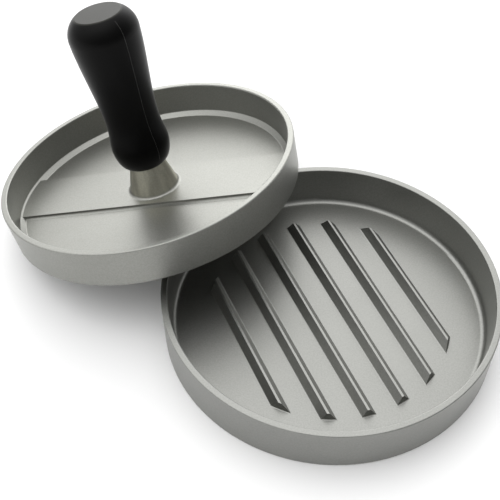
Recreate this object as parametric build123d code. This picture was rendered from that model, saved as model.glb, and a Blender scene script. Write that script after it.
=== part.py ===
from build123d import *
import math
import os

# Patty press: a round ribbed mould and a loose press plate with a handle.
# The plate leans on the mould: its low edge is on the table and its underside ribs are on the mould's rim.
# Units are mm. +Z is up. The origin is the centre of the mould's underside, on the table.

os.makedirs("parts", exist_ok=True)

STANDING = (Align.CENTER, Align.CENTER, Align.MIN)

# ---- mould -------------------------------------------------------------------------------------
MOULD_R = 62.5            # outer radius at the rim
MOULD_FOOT_R = 62.1       # outer radius at the table, so the wall has a slight draft
MOULD_H = 20.0
MOULD_MOUTH_R = 60.05     # inner radius at the rim
MOULD_WELL_R = 59.0       # inner radius at floor level
MOULD_FLOOR = 3.0
RIM_ROUND = 0.45
FOOT_ROUND = 0.6
WELL_ROUND = 2.0

# ---- ribs, on the mould's floor and under the press plate --------------------------------------------
RIB_COUNT = 6
RIB_PITCH = 13.65
RIB_FOOT = 5.15           # width at the foot
RIB_CREST = 0.85          # width of the flat crest
RIB_CREST_ROUND = 0.2
RIB_END_R = 46.0          # every rib ends on this circle
RIB_END_DRAFT = 0.6
RIB_SINK = 0.5            # depth of the root merged into the floor
MOULD_RIB_H = 3.0
MOULD_RIB_FILLET = 0.45   # rounding where a rib stands on its face
MOULD_RIB_AZ = -66.3      # direction of the mould's ribs, degrees from +X
PLATE_RIB_H = 3.5
PLATE_RIB_FILLET = 0.4

# ---- press plate, in its own frame: z = 0 on the underside, x along the raised band ----------------
PLATE_FOOT_R = 58.6
PLATE_R = 59.47
PLATE_H = 15.28
PLATE_MOUTH_R = 56.9
PLATE_WELL_R = 56.0       # inner radius where the wall meets the corner slope
PLATE_WELL_Z = 3.2
PLATE_FLOOR_R = 54.0      # inner radius where the corner slope meets the floor
PLATE_FLOOR = 1.5
PLATE_RIM_ROUND = 0.5
PLATE_FOOT_ROUND = 0.5
PLATE_CORNER_ROUND = 0.6  # both edges of the corner slope
BAND_TOP = 2.6
BAND_HALF = 12.87         # half width at the top edge
BAND_LEAN = 0.15          # how far the step's foot stands out from its top edge
BAND_TOE_HALF = 14.6      # half width where the toe runs out on the floor
BAND_TOE_Z = 1.8
BAND_TOE_EDGE = 0.03      # thickness of the toe where it runs out
BAND_END_R = 57.2         # the band's ends merge into the wall
ROOT_Z = 1.0              # the band and the boss reach down into the plate to this height
BOSS_FOOT_R = 10.05
BOSS_TOP_R = 6.7
BOSS_TOP = 14.8
BOSS_FILLET = 1.2
BOSS_PAD_R = 12.3
BOSS_TIP_ROUND = 0.4

# ---- fastening: screw head and lock washer sit in a counterbore under the boss -------------------------
SINK_R = 5.75
SINK_DEPTH = 6.0
HOLE_R = 3.3
SCREW_R = 2.95
SCREW_HEAD_R = 5.0
SCREW_HEAD_H = 3.6
SCREW_HEAD_ROUND = 1.4
SCREW_NECK_ROUND = 0.2
SCREW_END = 28.0
SCREW_TIP_ROUND = 0.6
HEX_AF = 4.0
HEX_DEPTH = 2.2
WASHER_R = 5.2
WASHER_HOLE_R = 3.1
WASHER_T = 1.4
WASHER_SLIT = 1.0
WASHER_SLIT_TILT = 20
INSERT_R = 4.6
INSERT_Z0 = 15.4
INSERT_Z1 = 29.0
INSERT_BORE_R = 3.0
GROOVE_DEPTH = 0.5
GROOVE_W = 1.6
GROOVE_LEVELS = (0.3, 0.7)
WELL_TOP = 31.0           # top of the blind hole above the insert
PAST = 1.0                # every cut runs this far past the face it opens on

# ---- grip, as (radius, height) ------------------------------------------------------------------
GRIP_SEAT = (8.1, BOSS_TOP)
GRIP_BULB = [(9.25, 15.7), (10.25, 17.3), (11.1, 20.0), (11.45, 24.0)]
GRIP_WAIST = [(10.85, 28.6), (10.35, 33.5), (10.45, 39.0)]
GRIP_SWELL = [(11.05, 46.0), (12.15, 56.0), (13.0, 65.0)]
GRIP_WIDEST = (13.25, 70.0)
GRIP_FACE = (8.7, 78.0)   # rim of the flat end face
GRIP_FACE_ROUND = 0.35

# ---- where the press plate lies at rest --------------------------------------------------------
PLATE_CENTRE = (-67.78, 52.20, 16.74)
LEAN = 16.66              # tilt of the plate's axis from vertical
LEAN_AZ = 136.82          # the axis tips towards this side, which is the low edge on the table
BAND_SPIN = 127.55        # turn of the band about the plate's axis, from the plate's level direction


def revolve_profile(corners):
    """Solid of revolution about Z from (radius, height, rounding) corners, in order."""
    points = [(r, z) for r, z, _ in corners]
    wire = Polyline(*points, close=True)
    face = make_face(Plane.XZ * wire).face()
    for r, z, rounding in corners:
        if rounding > 0:
            near = face.vertices().sort_by_distance(Vector(r, 0, z))[0]
            face = face.fillet_2d(rounding, [near])
    return revolve(face, Axis.Z)


def rib(offset, height):
    """One straight rib along X at y = offset, standing on z = 0, with both ends cut on the end circle."""
    foot = RIB_FOOT / 2
    crest = RIB_CREST / 2
    slope = (foot - crest) / height
    root = foot + slope * RIB_SINK
    outline = Polyline((-root, -RIB_SINK), (root, -RIB_SINK), (crest, height), (-crest, height), close=True)
    section = make_face(Plane.YZ * outline).face()
    tips = section.vertices().group_by(Axis.Z)[-1]
    section = section.fillet_2d(RIB_CREST_ROUND, tips)
    bar = extrude(section, RIB_END_R + PAST, both=True)
    bar = Pos(0, offset, 0) * bar
    draft = RIB_END_DRAFT / height
    low_r = RIB_END_R + draft * RIB_SINK
    limit = Cone(low_r, RIB_END_R - RIB_END_DRAFT, height + RIB_SINK, align=STANDING)
    return bar & (Pos(0, 0, -RIB_SINK) * limit)


def rib_field(height):
    first = -(RIB_COUNT - 1) / 2 * RIB_PITCH
    return [rib(first + i * RIB_PITCH, height) for i in range(RIB_COUNT)]


def round_rib_feet(body, floor_z, radius):
    """Rounds the edges where the ribs stand on the flat face at height floor_z."""
    level = body.edges().filter_by_position(Axis.Z, floor_z - 0.001, floor_z + 0.001)
    feet = []
    for edge in level:
        start = edge.position_at(0)
        if math.hypot(start.X, start.Y) < RIB_END_R + PAST:
            feet.append(edge)
    return fillet(feet, radius)


def plate_placement():
    """Turns the press plate's own frame into its leaning place beside the mould."""
    lean = math.radians(LEAN)
    az = math.radians(LEAN_AZ)
    up = Vector(math.sin(lean) * math.cos(az), math.sin(lean) * math.sin(az), math.cos(lean))
    uphill = (Vector(0, 0, 1) - up * up.Z).normalized()
    level = uphill.cross(up)
    spin = math.radians(BAND_SPIN)
    along = level * math.cos(spin) + uphill * math.sin(spin)
    return Plane(origin=PLATE_CENTRE, x_dir=along, z_dir=up).location


# ---- mould -------------------------------------------------------------------------------------
mould = revolve_profile([
    (0, 0, 0),
    (MOULD_FOOT_R, 0, FOOT_ROUND),
    (MOULD_R, MOULD_H, RIM_ROUND),
    (MOULD_MOUTH_R, MOULD_H, RIM_ROUND),
    (MOULD_WELL_R, MOULD_FLOOR, WELL_ROUND),
    (0, MOULD_FLOOR, 0),
])
for one in rib_field(MOULD_RIB_H):
    mould = mould + Pos(0, 0, MOULD_FLOOR) * Rot(0, 0, MOULD_RIB_AZ) * one
mould = round_rib_feet(mould, MOULD_FLOOR, MOULD_RIB_FILLET)

# ---- press plate ---------------------------------------------------------------------------------
plate = revolve_profile([
    (0, 0, 0),
    (PLATE_FOOT_R, 0, PLATE_FOOT_ROUND),
    (PLATE_R, PLATE_H, PLATE_RIM_ROUND),
    (PLATE_MOUTH_R, PLATE_H, PLATE_RIM_ROUND),
    (PLATE_WELL_R, PLATE_WELL_Z, PLATE_CORNER_ROUND),
    (PLATE_FLOOR_R, PLATE_FLOOR, PLATE_CORNER_ROUND),
    (0, PLATE_FLOOR, 0),
])

toe_z = PLATE_FLOOR + BAND_TOE_EDGE
band_outline = Polyline(
    (-BAND_TOE_HALF, ROOT_Z),
    (BAND_TOE_HALF, ROOT_Z),
    (BAND_TOE_HALF, toe_z),
    (BAND_HALF + BAND_LEAN, BAND_TOE_Z),
    (BAND_HALF, BAND_TOP),
    (-BAND_HALF, BAND_TOP),
    (-BAND_HALF - BAND_LEAN, BAND_TOE_Z),
    (-BAND_TOE_HALF, toe_z),
    close=True,
)
band = extrude(make_face(Plane.YZ * band_outline), BAND_END_R, both=True)
band = band & Cylinder(BAND_END_R, 2 * PLATE_H)
plate = plate + band

boss = revolve_profile([
    (0, ROOT_Z, 0),
    (BOSS_PAD_R, ROOT_Z, 0),
    (BOSS_PAD_R, BAND_TOP, 0),
    (BOSS_FOOT_R, BAND_TOP, BOSS_FILLET),
    (BOSS_TOP_R, BOSS_TOP, BOSS_TIP_ROUND),
    (0, BOSS_TOP, 0),
])
plate = plate + boss

for one in rib_field(PLATE_RIB_H):
    plate = plate + Rot(180, 0, 90) * one
plate = round_rib_feet(plate, 0, PLATE_RIB_FILLET)

sink_length = PLATE_RIB_H + SINK_DEPTH + PAST
plate = plate - Pos(0, 0, SINK_DEPTH - sink_length) * Cylinder(SINK_R, sink_length, align=STANDING)
plate = plate - Cylinder(HOLE_R, BOSS_TOP + PAST, align=STANDING)

# ---- lock washer: a split ring against the counterbore's seat ------------------------------------------
washer = Cylinder(WASHER_R, WASHER_T, align=STANDING) - Cylinder(WASHER_HOLE_R, WASHER_T, align=STANDING)
slit_place = Pos((WASHER_R + WASHER_HOLE_R) / 2, 0, WASHER_T / 2) * Rot(WASHER_SLIT_TILT, 0, 0)
slit = slit_place * Box(WASHER_R, WASHER_SLIT, WASHER_R)
washer = Pos(0, 0, SINK_DEPTH - WASHER_T) * (washer - slit)

# ---- handle screw ------------------------------------------------------------------------------
neck_z = SINK_DEPTH - WASHER_T
head_z = neck_z - SCREW_HEAD_H
screw = revolve_profile([
    (0, head_z, 0),
    (SCREW_HEAD_R, head_z, SCREW_HEAD_ROUND),
    (SCREW_HEAD_R, neck_z, SCREW_NECK_ROUND),
    (SCREW_R, neck_z, 0),
    (SCREW_R, SCREW_END, SCREW_TIP_ROUND),
    (0, SCREW_END, 0),
])
socket = extrude(RegularPolygon(HEX_AF / 2, 6, major_radius=False), HEX_DEPTH)
screw = screw - Pos(0, 0, head_z) * socket

# ---- threaded insert moulded into the grip -------------------------------------------------------
insert_length = INSERT_Z1 - INSERT_Z0
slug = Cylinder(INSERT_R, insert_length, align=STANDING)
for level in GROOVE_LEVELS:
    groove = Cylinder(INSERT_R + PAST, GROOVE_W) - Cylinder(INSERT_R - GROOVE_DEPTH, GROOVE_W)
    slug = slug - Pos(0, 0, level * insert_length) * groove
insert = Pos(0, 0, INSERT_Z0) * (slug - Cylinder(INSERT_BORE_R, insert_length, align=STANDING))

# ---- grip ------------------------------------------------------------------------------------
side = Spline(GRIP_SEAT, *GRIP_BULB, *GRIP_WAIST, *GRIP_SWELL, GRIP_WIDEST)
shoulder = TangentArc(GRIP_WIDEST, GRIP_FACE, tangent=side % 1)
end_face = Line(GRIP_FACE, (0, GRIP_FACE[1]))
axis_line = Line((0, GRIP_FACE[1]), (0, BOSS_TOP))
bottom = Line((0, BOSS_TOP), GRIP_SEAT)
profile = make_face(Plane.XZ * Wire([side, shoulder, end_face, axis_line, bottom])).face()
face_edge = profile.vertices().sort_by_distance(Vector(GRIP_FACE[0], 0, GRIP_FACE[1]))[0]
grip = revolve(profile.fillet_2d(GRIP_FACE_ROUND, [face_edge]), Axis.Z)
grip = grip - Cylinder(HOLE_R, WELL_TOP, align=STANDING)
grip = grip - Pos(0, 0, INSERT_Z0) * slug

# ---- parts in place ----------------------------------------------------------------------------
placement = plate_placement()
export_step(mould, "parts/mould.step")
for name, shape in {
    "press_plate": plate,
    "handle_grip": grip,
    "grip_insert": insert,
    "handle_screw": screw,
    "lock_washer": washer,
}.items():
    export_step(placement * shape, "parts/" + name + ".step")
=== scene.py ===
import math

import bpy
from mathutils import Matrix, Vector


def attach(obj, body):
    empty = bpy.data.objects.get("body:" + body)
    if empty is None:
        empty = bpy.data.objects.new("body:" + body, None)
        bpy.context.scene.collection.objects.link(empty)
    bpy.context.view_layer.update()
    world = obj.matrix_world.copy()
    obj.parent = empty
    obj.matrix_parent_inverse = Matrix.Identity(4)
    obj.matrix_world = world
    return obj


# Patty press: satin cast mould and press plate with a black moulded handle, on a pale table.
# Units are metres, in the CAD frame: the origin is under the mould's centre and +Z is up.

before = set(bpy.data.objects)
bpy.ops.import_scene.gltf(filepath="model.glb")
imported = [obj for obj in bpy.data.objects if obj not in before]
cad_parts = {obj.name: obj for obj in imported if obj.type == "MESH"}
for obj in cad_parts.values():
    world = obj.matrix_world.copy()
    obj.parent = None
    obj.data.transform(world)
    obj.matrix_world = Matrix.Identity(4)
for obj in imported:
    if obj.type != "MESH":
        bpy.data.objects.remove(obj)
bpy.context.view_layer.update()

MM = 0.001

# ---- the presser's axis, up through the plate and the handle ---------------------------------------
LEAN = math.radians(16.66)           # away from upright
LEAN_TURN = math.radians(136.82)     # the way it leans, from +X towards +Y
PRESSER_AXIS = Vector((
    math.sin(LEAN) * math.cos(LEAN_TURN),
    math.sin(LEAN) * math.sin(LEAN_TURN),
    math.cos(LEAN),
))
PRESSER_FOOT = Vector((-67.78, 52.20, 16.74)) * MM     # centre of the press plate's underside
GRIP_END = 78.0 * MM                 # height of the grip's flat end above that foot

# ---- camera ------------------------------------------------------------------------------------
CAMERA_TARGET = Vector((-29.55 * MM, 34.26 * MM, 0))
CAMERA_DISTANCE = 386.14 * MM
CAMERA_ELEVATION = math.radians(49.55)
CAMERA_SENSOR = 36
CAMERA_LENS = 68.4
CAMERA_SHIFT_X = -0.001
CAMERA_SHIFT_Y = 0.001
CAMERA_NEAR = 0.01
CAMERA_FAR = 50


def add_camera():
    """Looks along +Y and down at the table."""
    data = bpy.data.cameras.new("camera")
    data.sensor_width = CAMERA_SENSOR
    data.lens = CAMERA_LENS
    data.shift_x = CAMERA_SHIFT_X
    data.shift_y = CAMERA_SHIFT_Y
    data.clip_start = CAMERA_NEAR
    data.clip_end = CAMERA_FAR
    camera = bpy.data.objects.new("camera", data)
    back = Vector((0, -math.cos(CAMERA_ELEVATION), math.sin(CAMERA_ELEVATION)))
    camera.location = CAMERA_TARGET + back * CAMERA_DISTANCE
    camera.rotation_euler = back.to_track_quat("Z", "Y").to_euler()
    bpy.context.collection.objects.link(camera)
    bpy.context.scene.camera = camera


# ---- shader nodes --------------------------------------------------------------------------------
def new_material(name):
    """A material with its Principled shader, and its nodes and links."""
    material = bpy.data.materials.new(name)
    material.use_nodes = True
    tree = material.node_tree
    return material, tree.nodes["Principled BSDF"], tree.nodes, tree.links


def put(links, socket, value):
    """Links an output to an input, or sets the input to a plain value."""
    if isinstance(value, bpy.types.NodeSocket):
        links.new(value, socket)
    else:
        socket.default_value = value


def compute(nodes, links, operation, *terms):
    """One sum on plain numbers and outputs."""
    node = nodes.new("ShaderNodeMath")
    node.operation = operation
    for socket, term in zip(node.inputs, terms):
        put(links, socket, term)
    return node.outputs[0]


def compute_vector(nodes, links, operation, *terms):
    """One sum on vectors. Its outputs are Vector and Value."""
    node = nodes.new("ShaderNodeVectorMath")
    node.operation = operation
    for socket, term in zip(node.inputs, terms):
        put(links, socket, term)
    return node.outputs


def noise(nodes, links, vector, scale, detail=2.0, rough=0.5):
    """Cloudy noise, with this many features to the metre."""
    texture = nodes.new("ShaderNodeTexNoise")
    texture.inputs["Scale"].default_value = scale
    texture.inputs["Detail"].default_value = detail
    texture.inputs["Roughness"].default_value = rough
    links.new(vector, texture.inputs["Vector"])
    return texture.outputs["Fac"]


def remap(nodes, links, source, low, high, start=0.0, end=1.0):
    """Maps the range start to end, smoothly, to the range low to high."""
    node = nodes.new("ShaderNodeMapRange")
    node.interpolation_type = "SMOOTHSTEP"
    node.inputs["From Min"].default_value = start
    node.inputs["From Max"].default_value = end
    node.inputs["To Min"].default_value = low
    node.inputs["To Max"].default_value = high
    links.new(source, node.inputs["Value"])
    return node.outputs["Result"]


def shade(tint, share):
    """A tint made darker or lighter by a share."""
    return (*[part * share for part in tint], 1)


def mix_colour(nodes, links, factor, low, high):
    """Blends two colours by a 0 to 1 value."""
    node = nodes.new("ShaderNodeMix")
    node.data_type = "RGBA"
    links.new(factor, node.inputs["Factor"])
    put(links, node.inputs["A"], low)
    put(links, node.inputs["B"], high)
    return node.outputs["Result"]


def add_bump(nodes, links, shader, height, depth):
    """Raises the surface by a 0 to 1 height, times the depth."""
    bump = nodes.new("ShaderNodeBump")
    bump.inputs["Distance"].default_value = depth
    links.new(height, bump.inputs["Height"])
    links.new(bump.outputs["Normal"], shader.inputs["Normal"])


def about_presser_axis(nodes, links, place):
    """Height above the presser's foot, distance from its axis, and the offset turned a quarter turn."""
    local = compute_vector(nodes, links, "SUBTRACT", place, PRESSER_FOOT)["Vector"]
    height = compute_vector(nodes, links, "DOT_PRODUCT", local, PRESSER_AXIS)["Value"]
    offset = compute_vector(nodes, links, "CROSS_PRODUCT", local, PRESSER_AXIS)["Vector"]
    radius = compute_vector(nodes, links, "LENGTH", offset)["Value"]
    return height, radius, offset


# ---- light and table ---------------------------------------------------------------------------
# soft patches of studio light: azimuth from +Y towards +X, elevation (both in degrees) and radiance
SKY_LOBES = [
    (0, 10, 2.0),
    (36, 10, 1.02),
    (72, 10, 0.10),
    (108, 10, 0.05),
    (144, 10, 0.09),
    (180, 10, 0.09),
    (216, 10, 0.09),
    (252, 10, 0.32),
    (288, 10, 0.50),
    (324, 10, 0.34),
    (0, 35, 0.70),
    (36, 35, 0.14),
    (72, 35, 0.05),
    (108, 35, 0.05),
    (144, 35, 0.09),
    (180, 35, 0.09),
    (216, 35, 0.09),
    (252, 35, 0.45),
    (288, 35, 0.06),
    (324, 35, 0.08),
    (0, 60, 0.50),
    (60, 60, 0.06),
    (120, 60, 0.10),
    (180, 60, 0.10),
    (240, 60, 0.70),
    (300, 60, 0.66),
    (0, 90, 1.30),
]
SKY_TIGHTNESS = 7.0
EDGE_GLOW = (352, 3, 4.0)         # a narrow bright strip low at the back, which the rounded rims catch
EDGE_GLOW_TIGHTNESS = 90.0
SKY_POWER = 1.12                  # multiplies every radiance
TABLE_HALF = 3.0
TABLE_WHITE = (0.88, 0.88, 0.88, 1)
TABLE_ROUGHNESS = 0.9


def heading(azimuth, elevation):
    """The direction at an azimuth from +Y towards +X and an elevation, in degrees."""
    turn = math.radians(azimuth)
    rise = math.radians(elevation)
    return math.sin(turn) * math.cos(rise), math.cos(turn) * math.cos(rise), math.sin(rise)


def add_world():
    """Soft studio light all round, as overlapping smooth patches of a dome."""
    world = bpy.data.worlds.new("studio")
    bpy.context.scene.world = world
    world.use_nodes = True
    nodes = world.node_tree.nodes
    links = world.node_tree.links
    ray = nodes.new("ShaderNodeTexCoord").outputs["Generated"]
    patches = [(*lobe, SKY_TIGHTNESS) for lobe in SKY_LOBES]
    patches.append((*EDGE_GLOW, EDGE_GLOW_TIGHTNESS))
    total = 0
    for azimuth, elevation, radiance, tightness in patches:
        likeness = compute_vector(nodes, links, "DOT_PRODUCT", ray, heading(azimuth, elevation))["Value"]
        fall = compute(nodes, links, "MULTIPLY_ADD", likeness, tightness, -tightness)
        glow = compute(nodes, links, "EXPONENT", fall)
        total = compute(nodes, links, "MULTIPLY_ADD", glow, radiance * SKY_POWER, total)
    background = nodes["Background"]
    background.inputs["Color"].default_value = (1, 1, 1, 1)
    links.new(total, background.inputs["Strength"])


def add_table():
    """A wide pale tabletop."""
    corners = [(x * TABLE_HALF, y * TABLE_HALF, 0) for x, y in ((-1, -1), (1, -1), (1, 1), (-1, 1))]
    mesh = bpy.data.meshes.new("table")
    mesh.from_pydata(corners, [], [(0, 1, 2, 3)])
    table = bpy.data.objects.new("table", mesh)
    bpy.context.collection.objects.link(table)
    material, shader, nodes, links = new_material("table_white")
    shader.inputs["Base Color"].default_value = TABLE_WHITE
    shader.inputs["Roughness"].default_value = TABLE_ROUGHNESS
    shader.inputs["Specular IOR Level"].default_value = 0.0
    mesh.materials.append(material)


# ---- satin castings --------------------------------------------------------------------------------
MOULD_TINT = (0.262, 0.264, 0.250)
PLATE_TINT = (0.272, 0.274, 0.255)
CAST_ROUGHNESS = 0.40
CAST_ROUGHNESS_SPREAD = 0.05
CAST_CLOUD_SCALE = 55
CAST_CLOUD_DARK = 0.95            # shares of the tint
CAST_CLOUD_LIGHT = 1.04
CAST_GRAIN_SCALE = 1700
CAST_GRAIN_RAGGED = 0.65
CAST_GRAIN_DEPTH = 0.03 * MM
CAST_SPECK_DARK = 0.92
CAST_SPECK_LIGHT = 1.08
CAST_SPECK_FROM = 0.3             # the stretch of the grain that goes from dark to light
CAST_SPECK_TO = 0.7

# painted reflection on the boss: a warmer, lighter tone stands in for light bounced between the plate and
# the boss, and streaks stand in for the reflected bands up the cone; it starts above the band and inside a
# radius that clears its fillet
BOSS_REFLECTION_TINT = (0.46, 0.45, 0.38)
BOSS_STARTS = 2.7 * MM
BOSS_FULL = 4.2 * MM
BOSS_INSIDE = 12 * MM
BOSS_OUTSIDE = 14 * MM
REFLECTION_STREAK_SCALE = 170
REFLECTION_STREAK_DARK = 0.78
REFLECTION_STREAK_LIGHT = 1.26
REFLECTION_STREAK_FROM = 0.36
REFLECTION_STREAK_TO = 0.64


def boss_painted_reflection(nodes, links, place, plain):
    """The plain tone, with a painted reflection of warm, lighter streaks up the boss instead of it."""
    height, radius, offset = about_presser_axis(nodes, links, place)
    above = remap(nodes, links, height, 0, 1, BOSS_STARTS, BOSS_FULL)
    inside = remap(nodes, links, radius, 1, 0, BOSS_INSIDE, BOSS_OUTSIDE)
    on_boss = compute(nodes, links, "MULTIPLY", above, inside)
    reflection_streak = noise(nodes, links, offset, REFLECTION_STREAK_SCALE)
    stretched = remap(nodes, links, reflection_streak, 0, 1, REFLECTION_STREAK_FROM, REFLECTION_STREAK_TO)
    painted_reflection = mix_colour(nodes, links, stretched, shade(BOSS_REFLECTION_TINT, REFLECTION_STREAK_DARK), shade(BOSS_REFLECTION_TINT, REFLECTION_STREAK_LIGHT))
    return mix_colour(nodes, links, on_boss, plain, painted_reflection)


def satin_cast(name, tint, has_boss=False):
    """Bead-blasted cast aluminium: fine grain, a faint cloudy tone and uneven gloss."""
    material, shader, nodes, links = new_material(name)
    shader.inputs["Metallic"].default_value = 1.0
    place = nodes.new("ShaderNodeTexCoord").outputs["Object"]
    cloud = noise(nodes, links, place, CAST_CLOUD_SCALE, 3.0)
    grain = noise(nodes, links, place, CAST_GRAIN_SCALE, 3.0, CAST_GRAIN_RAGGED)
    tone = mix_colour(nodes, links, cloud, shade(tint, CAST_CLOUD_DARK), shade(tint, CAST_CLOUD_LIGHT))
    # the boss gets a painted reflection: a warmer, lighter, streaked tone
    if has_boss:
        tone = boss_painted_reflection(nodes, links, place, tone)
    speck = remap(nodes, links, grain, CAST_SPECK_DARK, CAST_SPECK_LIGHT, CAST_SPECK_FROM, CAST_SPECK_TO)
    flecked = nodes.new("ShaderNodeVectorMath")
    flecked.operation = "SCALE"
    links.new(tone, flecked.inputs[0])
    links.new(speck, flecked.inputs["Scale"])
    links.new(flecked.outputs["Vector"], shader.inputs["Base Color"])
    sharpest = CAST_ROUGHNESS - CAST_ROUGHNESS_SPREAD
    dullest = CAST_ROUGHNESS + CAST_ROUGHNESS_SPREAD
    links.new(remap(nodes, links, grain, sharpest, dullest), shader.inputs["Roughness"])
    add_bump(nodes, links, shader, grain, CAST_GRAIN_DEPTH)
    return material


# ---- black moulded grip ----------------------------------------------------------------------------
GRIP_DARK = (0.0008, 0.0008, 0.0008)
GRIP_LIGHT = (0.0014, 0.0014, 0.0013)
GRIP_GLOSS = 0.09
GRIP_SHEEN = 0.14
GRIP_SHEEN_ROUGHNESS = 0.25
GRIP_CLOUD_SCALE = 60
GRIP_SHARPEST = 0.33
GRIP_DULLEST = 0.39
GRIP_GRAIN_SCALE = 1800
GRIP_GRAIN_DEPTH = 0.006 * MM
# a paler tone painted on the grip's flat end face: a painted highlight for the overhead light it catches
FACE_HIGHLIGHT_TINT = (0.027, 0.027, 0.023)
FACE_DARK = 0.92
FACE_LIGHT = 1.06
FACE_STARTS = GRIP_END - 0.45 * MM
FACE_FULL = GRIP_END - 0.10 * MM
SEAM_DARK = (0.004, 0.004, 0.004)
SEAM_LIGHT = (0.010, 0.010, 0.009)
SEAM_GLOSS = 0.3


def grip_black(name, dark, light, gloss):
    """Satin black plastic between two tones, with a paler painted highlight on the handle's flat end face,
    standing in for the overhead light it catches.
    """
    material, shader, nodes, links = new_material(name)
    shader.inputs["Specular IOR Level"].default_value = gloss
    shader.inputs["Sheen Weight"].default_value = GRIP_SHEEN
    shader.inputs["Sheen Roughness"].default_value = GRIP_SHEEN_ROUGHNESS
    place = nodes.new("ShaderNodeTexCoord").outputs["Object"]
    grain = noise(nodes, links, place, GRIP_GRAIN_SCALE)
    cloud = noise(nodes, links, place, GRIP_CLOUD_SCALE)
    height = about_presser_axis(nodes, links, place)[0]
    on_face = remap(nodes, links, height, 0, 1, FACE_STARTS, FACE_FULL)
    body = mix_colour(nodes, links, cloud, shade(dark, 1), shade(light, 1))
    # the flat end face gets the paler painted highlight
    painted_face_highlight = mix_colour(nodes, links, cloud, shade(FACE_HIGHLIGHT_TINT, FACE_DARK), shade(FACE_HIGHLIGHT_TINT, FACE_LIGHT))
    links.new(mix_colour(nodes, links, on_face, body, painted_face_highlight), shader.inputs["Base Color"])
    links.new(remap(nodes, links, cloud, GRIP_SHARPEST, GRIP_DULLEST), shader.inputs["Roughness"])
    add_bump(nodes, links, shader, grain, GRIP_GRAIN_DEPTH)
    return material


# ---- turned fixings --------------------------------------------------------------------------------
BRASS_TINT = (0.76, 0.56, 0.26)
SCREW_TINT = (0.52, 0.52, 0.51)
WASHER_TINT = (0.42, 0.42, 0.43)
BRASS_ROUGHNESS = 0.30
SCREW_ROUGHNESS = 0.32
WASHER_ROUGHNESS = 0.36
RING_SCALE = 5200
RING_DEPTH = 0.01 * MM
RING_ROUGHNESS_SPREAD = 0.08
TURNED_CLOUD_SCALE = 240
TURNED_DARK = 0.84
TURNED_LIGHT = 1.06


def turned_metal(name, tint, roughness):
    """Machined metal: fine tool rings about the presser's axis and a slightly uneven tone."""
    material, shader, nodes, links = new_material(name)
    shader.inputs["Metallic"].default_value = 1.0
    place = nodes.new("ShaderNodeTexCoord").outputs["Object"]
    height, radius, offset = about_presser_axis(nodes, links, place)
    profile = nodes.new("ShaderNodeCombineXYZ")
    links.new(radius, profile.inputs["X"])
    links.new(height, profile.inputs["Y"])
    rings = noise(nodes, links, profile.outputs["Vector"], RING_SCALE, 1.0)
    cloud = noise(nodes, links, place, TURNED_CLOUD_SCALE, 3.0)
    tone = mix_colour(nodes, links, cloud, shade(tint, TURNED_DARK), shade(tint, TURNED_LIGHT))
    links.new(tone, shader.inputs["Base Color"])
    sharpest = roughness - RING_ROUGHNESS_SPREAD
    dullest = roughness + RING_ROUGHNESS_SPREAD
    links.new(remap(nodes, links, rings, sharpest, dullest), shader.inputs["Roughness"])
    add_bump(nodes, links, shader, rings, RING_DEPTH)
    return material


def dress_node(node, material):
    """Gives a CAD node a new material in every slot."""
    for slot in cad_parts[node].material_slots:
        slot.material = material


# ---- parting lines of the moulded grip -------------------------------------------------------------
SEAM_TURN = math.radians(87)      # from the axis's level direction towards its uphill side
SEAM_FROM = 17.5 * MM             # heights above the presser's foot
SEAM_TO = 77.3 * MM
SEAM_STEPS = 90
SEAM_TAPER_STEPS = 6              # each end rises out of the grip over this many steps
SEAM_HALF = 0.17 * MM
SEAM_HEIGHT = 0.14 * MM
SEAM_SINK = 0.05 * MM
SEAM_PROBE = 30 * MM              # outside the grip, where each ray to its surface starts

# across in half widths and lift as a share of the height, from one edge over the crest to the other
SEAM_SECTION = ((-1.0, 0.0), (-0.45, 0.8), (0.0, 1.0), (0.45, 0.8), (1.0, 0.0))


def seam_path(outward):
    """Points up the grip's own surface, on the side that outward points to."""
    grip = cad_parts["handle_grip"]
    path = []
    for step in range(SEAM_STEPS + 1):
        height = SEAM_FROM + (SEAM_TO - SEAM_FROM) * step / SEAM_STEPS
        start = PRESSER_FOOT + PRESSER_AXIS * height + outward * SEAM_PROBE
        hit, place = grip.ray_cast(start, -outward)[:2]
        if hit:
            path.append(place)
    return path


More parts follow.
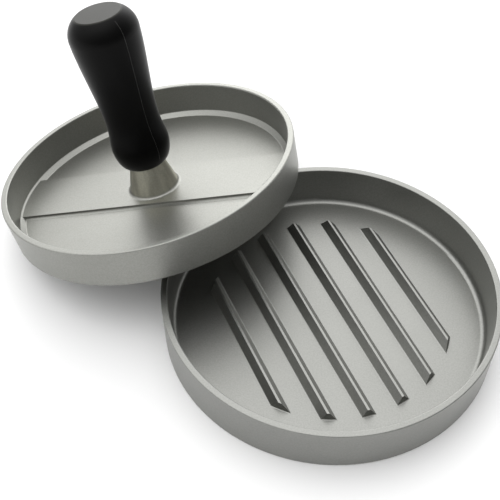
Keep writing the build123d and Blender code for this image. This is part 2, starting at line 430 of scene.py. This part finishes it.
def add_parting_line(name, turn, material):
    """A fine closed ridge up the grip's side."""
    uphill = (Vector((0, 0, 1)) - PRESSER_AXIS * PRESSER_AXIS.z).normalized()
    level = uphill.cross(PRESSER_AXIS)
    outward = level * math.cos(turn) + uphill * math.sin(turn)
    sideways = PRESSER_AXIS.cross(outward)
    path = seam_path(outward)
    last = len(path) - 1
    around = len(SEAM_SECTION)
    points = []
    faces = []
    for i, place in enumerate(path):
        run = path[min(i + 1, last)] - path[max(i - 1, 0)]
        normal = sideways.cross(run).normalized()
        if normal.dot(outward) < 0:
            normal = -normal
        taper = min(1.0, i / SEAM_TAPER_STEPS, (last - i) / SEAM_TAPER_STEPS)
        for across, lift in SEAM_SECTION:
            rise = lift * SEAM_HEIGHT * taper - (1 - lift) * SEAM_SINK
            points.append(place + sideways * across * SEAM_HALF + normal * rise)
        if i > 0:
            below = (i - 1) * around
            for k in range(around):
                here = below + k
                beside = below + (k + 1) % around
                faces.append((here, beside, beside + around, here + around))
    faces.append(tuple(reversed(range(around))))
    faces.append(tuple(range(last * around, (last + 1) * around)))
    mesh = bpy.data.meshes.new(name)
    mesh.from_pydata(points, [], faces)
    mesh.polygons.foreach_set("use_smooth", [True] * len(faces))
    mesh.materials.append(material)
    line = bpy.data.objects.new(name, mesh)
    bpy.context.collection.objects.link(line)
    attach(line, "presser")


# ---- the whole scene -------------------------------------------------------------------------------
bpy.context.scene.view_settings.view_transform = "Standard"
add_camera()
add_world()
add_table()

dress_node("mould", satin_cast("mould_satin", MOULD_TINT))
dress_node("press_plate", satin_cast("plate_satin", PLATE_TINT, has_boss=True))
dress_node("handle_grip", grip_black("grip_black", GRIP_DARK, GRIP_LIGHT, GRIP_GLOSS))
dress_node("grip_insert", turned_metal("insert_brass_turned", BRASS_TINT, BRASS_ROUGHNESS))
dress_node("handle_screw", turned_metal("screw_steel_turned", SCREW_TINT, SCREW_ROUGHNESS))
dress_node("lock_washer", turned_metal("washer_steel_turned", WASHER_TINT, WASHER_ROUGHNESS))

seam_black = grip_black("grip_black_seam", SEAM_DARK, SEAM_LIGHT, SEAM_GLOSS)
add_parting_line("grip_parting_line_near", SEAM_TURN, seam_black)
add_parting_line("grip_parting_line_far", SEAM_TURN + math.pi, seam_black)
